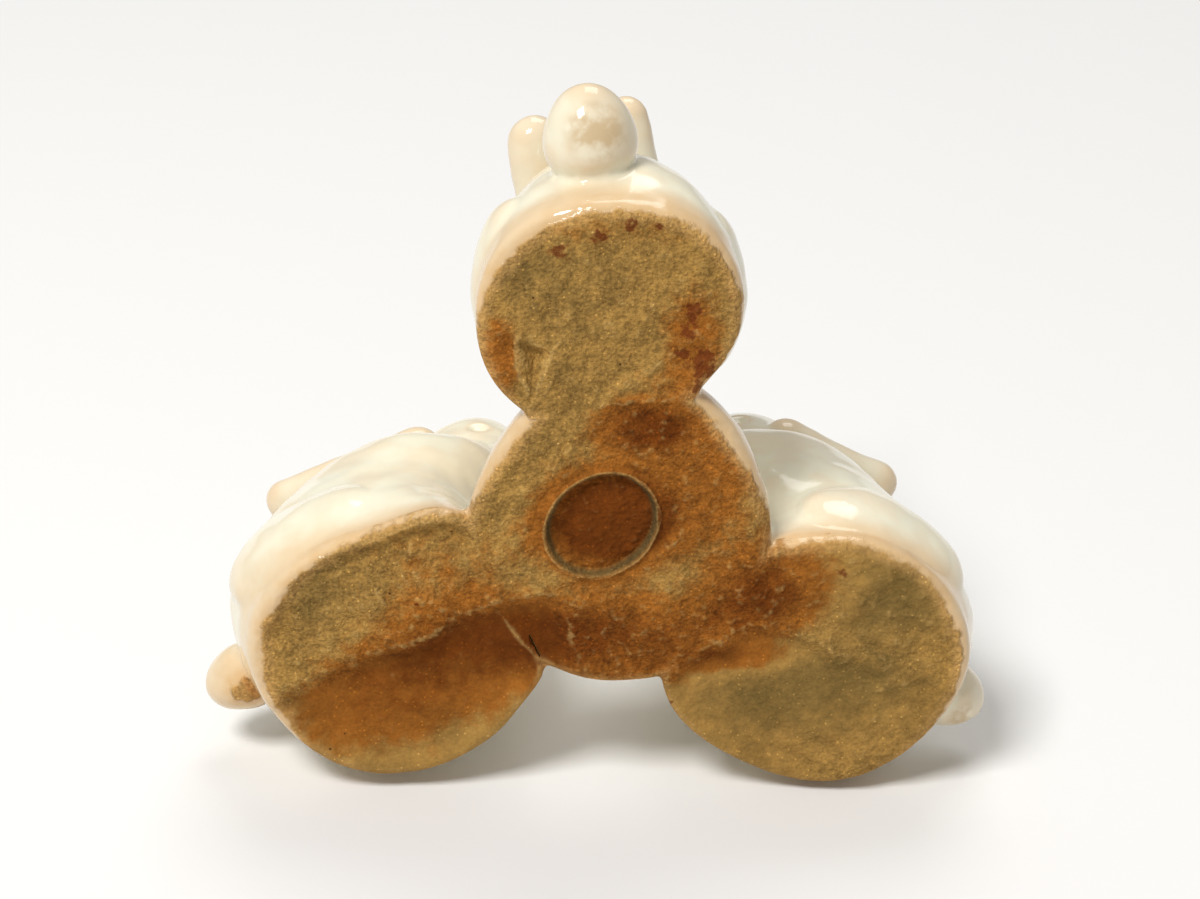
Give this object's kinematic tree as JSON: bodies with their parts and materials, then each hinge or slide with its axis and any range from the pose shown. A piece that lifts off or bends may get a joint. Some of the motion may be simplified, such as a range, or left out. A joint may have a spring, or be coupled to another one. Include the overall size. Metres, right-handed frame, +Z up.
{
  "type": "lid rest",
  "caption": "Glazed ceramic lid rest: seated rabbits round a small disc, facing inwards, whose heads carry the lid and whose bare feet stand on the table.",
  "frame": {"origin": "middle of the footprint's box, on the plane that the feet stand on", "axes": "+Z up from the feet to the head tops that carry the lid, +X across the widest pair of tails, -Y towards the single figure"},
  "size_m": [0.0722, 0.0652, 0.038],
  "materials": {
    "glaze": "glossy cream glaze with faint pinkish and sandy variation",
    "bare_clay": "unglazed sandy stoneware, toasted orange-brown"
  },
  "bodies": {
    "root": {"base_disc": "bare_clay", "body_1": "glaze", "body_2": "glaze", "body_3": "glaze", "head_1": "glaze", "head_2": "glaze", "head_3": "glaze", "ear_left_1": "glaze", "ear_left_2": "glaze", "ear_left_3": "glaze", "ear_right_1": "glaze", "ear_right_2": "glaze", "ear_right_3": "glaze", "tail_1": "glaze", "tail_2": "glaze", "tail_3": "glaze", "haunch_left_1": "glaze", "haunch_left_2": "glaze", "haunch_left_3": "glaze", "haunch_right_1": "glaze", "haunch_right_2": "glaze", "haunch_right_3": "glaze"}
  },
  "joints": []
}
